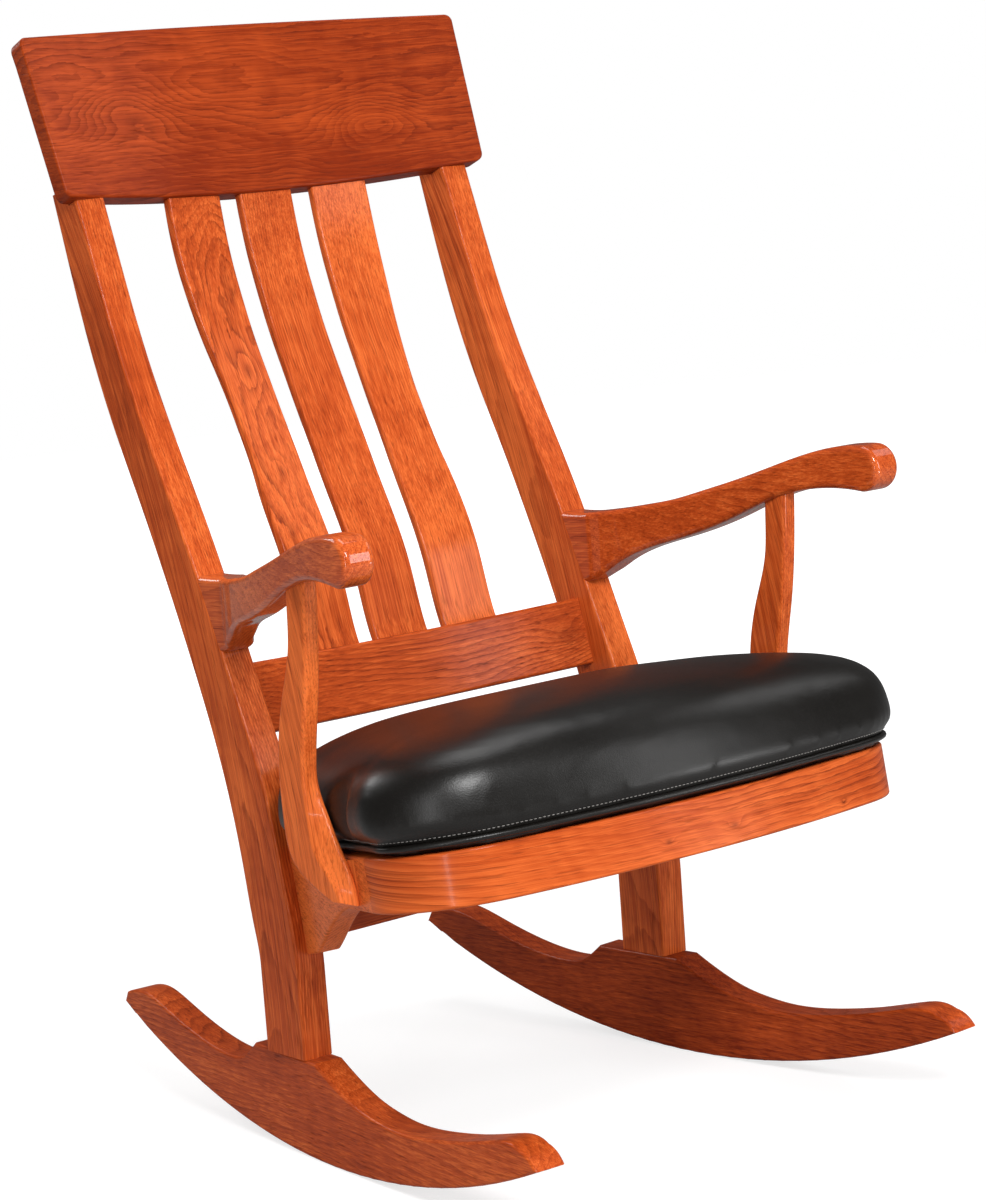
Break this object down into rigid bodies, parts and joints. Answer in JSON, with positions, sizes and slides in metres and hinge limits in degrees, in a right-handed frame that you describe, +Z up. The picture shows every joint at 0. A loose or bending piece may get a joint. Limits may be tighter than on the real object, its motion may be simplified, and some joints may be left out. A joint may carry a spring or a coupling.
{
  "type": "rocking chair",
  "caption": "Wooden rocking chair with a bowed slatted back, scrolled open arms, front supports, curved rockers and a crowned leather seat.",
  "frame": {"origin": "on the floor, under the middle of the chair's width and length", "axes": "+Z up, +Y towards the chair's back, +X towards the left hand of a seated person"},
  "size_m": [0.6792, 0.84, 1.169],
  "materials": {
    "cherry": "satin red-brown cherry stain under clear lacquer",
    "plywood": "bare plywood",
    "black_leather": "smooth black upholstery leather, semi-gloss",
    "foam": "open-cell upholstery foam",
    "dust_cloth": "thin black non-woven cloth",
    "steel": "zinc-plated steel"
  },
  "bodies": {
    "root": {"back_slat_right": "cherry", "back_slat_left": "cherry", "back_slat_middle": "cherry", "crest_dowels": "cherry", "crest_rail": "cherry", "lower_back_rail": "cherry", "apron_dowels": "cherry", "rear_seat_rail": "cherry", "arm_dowels": "cherry", "arm_support_right": "cherry", "arm_support_left": "cherry", "arm_plugs": "cherry", "arm_right": "cherry", "arm_left": "cherry", "rocker_plugs": "cherry", "rocker_right": "cherry", "rocker_left": "cherry", "back_post_right": "cherry", "back_post_left": "cherry", "side_rail_right": "cherry", "side_rail_left": "cherry", "front_apron": "cherry", "front_corner_block_right": "cherry", "front_corner_block_left": "cherry", "rear_corner_block_right": "cherry", "rear_corner_block_left": "cherry", "seat_board": "plywood", "seat_cover": "black_leather", "seat_welt": "black_leather", "seat_foam": "foam", "dust_cover": "dust_cloth", "support_bolts": "steel", "arm_bolts": "steel", "rocker_screws": "steel", "seat_screws": "steel"}
  },
  "joints": []
}
